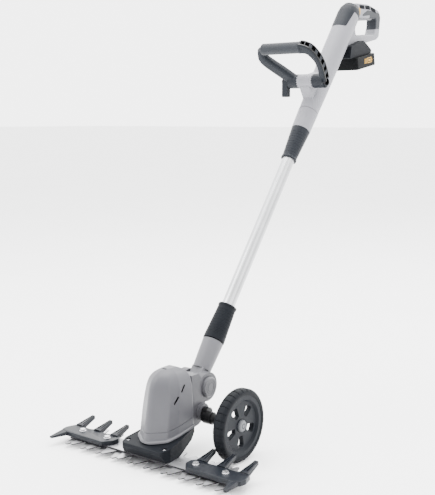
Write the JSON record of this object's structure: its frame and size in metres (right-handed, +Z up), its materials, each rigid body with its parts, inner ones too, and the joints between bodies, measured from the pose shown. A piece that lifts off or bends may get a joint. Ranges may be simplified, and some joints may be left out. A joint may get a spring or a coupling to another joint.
{
  "type": "hedge trimmer",
  "caption": "Long-reach cordless trimmer with a double-sided bar cutter, tilting wheeled head, telescopic pole, adjustable front loop handle and slide-on battery",
  "frame": {"origin": "bottom centre of the tool's bounding box, on the ground below its middle", "axes": "+Z up, -Y to the cutting side at the front, +X to the wheel's side"},
  "size_m": [0.4274, 0.8665, 0.8729],
  "materials": {
    "housing_grey": "satin moulded, light cool grey",
    "neck_grey": "satin moulded, light grey",
    "cover_grey": "satin moulded, mid grey",
    "head_grey": "satin moulded, mid grey",
    "dark_plastic": "fine textured dark grey",
    "plug_grey": "satin",
    "guard_plastic": "textured, near black",
    "soft_grip": "soft touch overmould",
    "trigger_plastic": "satin",
    "gold_accent": "satin gold",
    "battery_black": "fine textured black",
    "cell_wrap": "shrink wrap",
    "contact_brass": "bright",
    "inner_plastic": "moulded",
    "tube_aluminium": "bright drawn",
    "lead_rubber": "sheath",
    "blade_steel": "ground",
    "bar_steel": "pressed",
    "fastener_steel": "plated",
    "gear_steel": "machined",
    "arm_plastic": "moulded black",
    "wheel_plastic": "moulded dark grey",
    "wheel_tyre": "moulded dark grey",
    "hub_silver": "satin silver"
  },
  "bodies": {
    "rear_housing": {"housing_left": "housing_grey", "housing_right": "housing_grey", "rear_grip_sleeve": "soft_grip", "top_grip_pads": "soft_grip", "housing_screws": "fastener_steel", "end_cap": "dark_plastic", "end_plug": "plug_grey", "tube_clamp": "inner_plastic", "main_switch": "inner_plastic", "control_board": "inner_plastic", "battery_socket": "dark_plastic", "battery_contacts": "contact_brass"},
    "trigger": {"trigger": "trigger_plastic"},
    "lock_off_button": {"lock_off_button": "gold_accent"},
    "battery": {"battery_case": "battery_black", "battery_cells": "cell_wrap", "battery_label": "gold_accent"},
    "battery_latch": {"battery_latch": "battery_black"},
    "front_handle": {"front_handle_frame": "dark_plastic", "front_soft_grip": "soft_grip", "front_handle_bolt": "fastener_steel"},
    "clamp_lever": {"clamp_lever": "dark_plastic"},
    "upper_collar": {"upper_collar": "dark_plastic"},
    "pole": {"pole_tube": "tube_aluminium", "motor_lead": "lead_rubber", "lead_bush": "inner_plastic"},
    "lower_collar": {"lower_collar": "dark_plastic"},
    "neck": {"neck_left": "neck_grey", "neck_right": "neck_grey"},
    "head": {"head_housing_left": "head_grey", "head_housing_right": "head_grey", "tilt_pin": "fastener_steel", "tilt_cap": "head_grey", "left_socket_bush": "head_grey", "right_socket_bush": "head_grey", "motor_cover": "cover_grey", "gear_case": "dark_plastic", "case_screws": "fastener_steel", "motor": "gear_steel", "motor_plate": "gear_steel", "gear_post": "fastener_steel", "support_bar": "bar_steel", "blade_guide_bolts": "fastener_steel", "guard_left": "guard_plastic", "guard_right": "guard_plastic", "guard_bolts": "fastener_steel"},
    "tilt_button": {"tilt_button": "head_grey"},
    "drive_gear": {"drive_gear": "gear_steel"},
    "pinion": {"pinion": "gear_steel"},
    "upper_blade": {"upper_blade": "blade_steel"},
    "lower_blade": {"lower_blade": "blade_steel"},
    "wheel_arm": {"wheel_arm": "arm_plastic", "axle": "fastener_steel"},
    "wheel": {"tyre": "wheel_tyre", "wheel_rim": "wheel_plastic", "hub_cap": "hub_silver"}
  },
  "joints": [
    {"name": "trigger_pull", "type": "hinge", "parent": "rear_housing", "child": "trigger", "pos_m": [0, 0.4043, 0.852], "axis": [1, 0, 0], "range_deg": [-5, 0], "stiffness_Nm_per_rad": 0.6, "springref_deg": 5.73},
    {"name": "lock_off_press", "type": "slide", "parent": "rear_housing", "child": "lock_off_button", "axis": [-1, 0, 0], "range_m": [0, 0.0035], "stiffness_N_per_m": 600, "springref_m": -0.002},
    {"name": "battery_slide", "type": "slide", "parent": "rear_housing", "child": "battery", "axis": [0, 0.9816, 0.1908], "range_m": [0, 0.09]},
    {"name": "latch_press", "type": "slide", "parent": "battery", "child": "battery_latch", "axis": [0, -0.9816, -0.1908], "range_m": [0, 0.0035], "stiffness_N_per_m": 800, "springref_m": -0.002},
    {"name": "front_handle_turn", "type": "hinge", "parent": "rear_housing", "child": "front_handle", "pos_m": [0, 0.1293, 0.691], "axis": [1, 0, 0], "range_deg": [-60, 60]},
    {"name": "clamp_lever_turn", "type": "hinge", "parent": "front_handle", "child": "clamp_lever", "pos_m": [-0.05, 0.1293, 0.691], "axis": [1, 0, 0], "range_deg": [-30, 90]},
    {"name": "upper_collar_turn", "type": "hinge", "parent": "rear_housing", "child": "upper_collar", "pos_m": [0, 0.10504, 0.58592], "axis": [0, 0.606, 0.7955], "range_deg": [0, 60]},
    {"name": "pole_slide", "type": "slide", "parent": "rear_housing", "child": "pole", "axis": [0, 0.606, 0.7955], "range_m": [-0.11, 0.12]},
    {"name": "lower_collar_turn", "type": "hinge", "parent": "pole", "child": "lower_collar", "pos_m": [0, -0.1931, 0.19455], "axis": [0, 0.606, 0.7955], "range_deg": [0, 60]},
    {"name": "head_turn", "type": "hinge", "parent": "pole", "child": "neck", "pos_m": [0, -0.21734, 0.16273], "axis": [0, 0.606, 0.7955], "range_deg": [-90, 90]},
    {"name": "head_tilt", "type": "hinge", "parent": "neck", "child": "head", "pos_m": [0, -0.2537, 0.115], "axis": [1, 0, 0], "range_deg": [-20, 40]},
    {"name": "tilt_button_press", "type": "slide", "parent": "head", "child": "tilt_button", "axis": [-1, 0, 0], "range_m": [0, 0.002], "stiffness_N_per_m": 900, "springref_m": -0.002},
    {"name": "drive_gear_spin", "type": "hinge", "parent": "head", "child": "drive_gear", "pos_m": [0, -0.3757, 0.025], "axis": [0, 0, 1], "continuous": true},
    {"name": "pinion_spin", "type": "hinge", "parent": "head", "child": "pinion", "pos_m": [0, -0.3442, 0.03], "axis": [0, 0, 1], "continuous": true},
    {"name": "upper_blade_stroke", "type": "slide", "parent": "head", "child": "upper_blade", "axis": [1, 0, 0], "range_m": [-0.00275, 0.00725]},
    {"name": "lower_blade_stroke", "type": "slide", "parent": "head", "child": "lower_blade", "axis": [1, 0, 0], "range_m": [-0.00725, 0.00275]},
    {"name": "wheel_arm_turn", "type": "hinge", "parent": "head", "child": "wheel_arm", "pos_m": [0.03, -0.2757, 0.074], "axis": [1, 0, 0], "range_deg": [-90, 90]},
    {"name": "wheel_spin", "type": "hinge", "parent": "wheel_arm", "child": "wheel", "pos_m": [0.121, -0.2797, 0.067], "axis": [1, 0, 0], "continuous": true}
  ],
  "couplings": [
    {"joint": "pinion_spin", "follows": "drive_gear_spin", "ratio": -3.6667},
    {"joint": "lower_blade_stroke", "follows": "upper_blade_stroke", "ratio": -1}
  ]
}
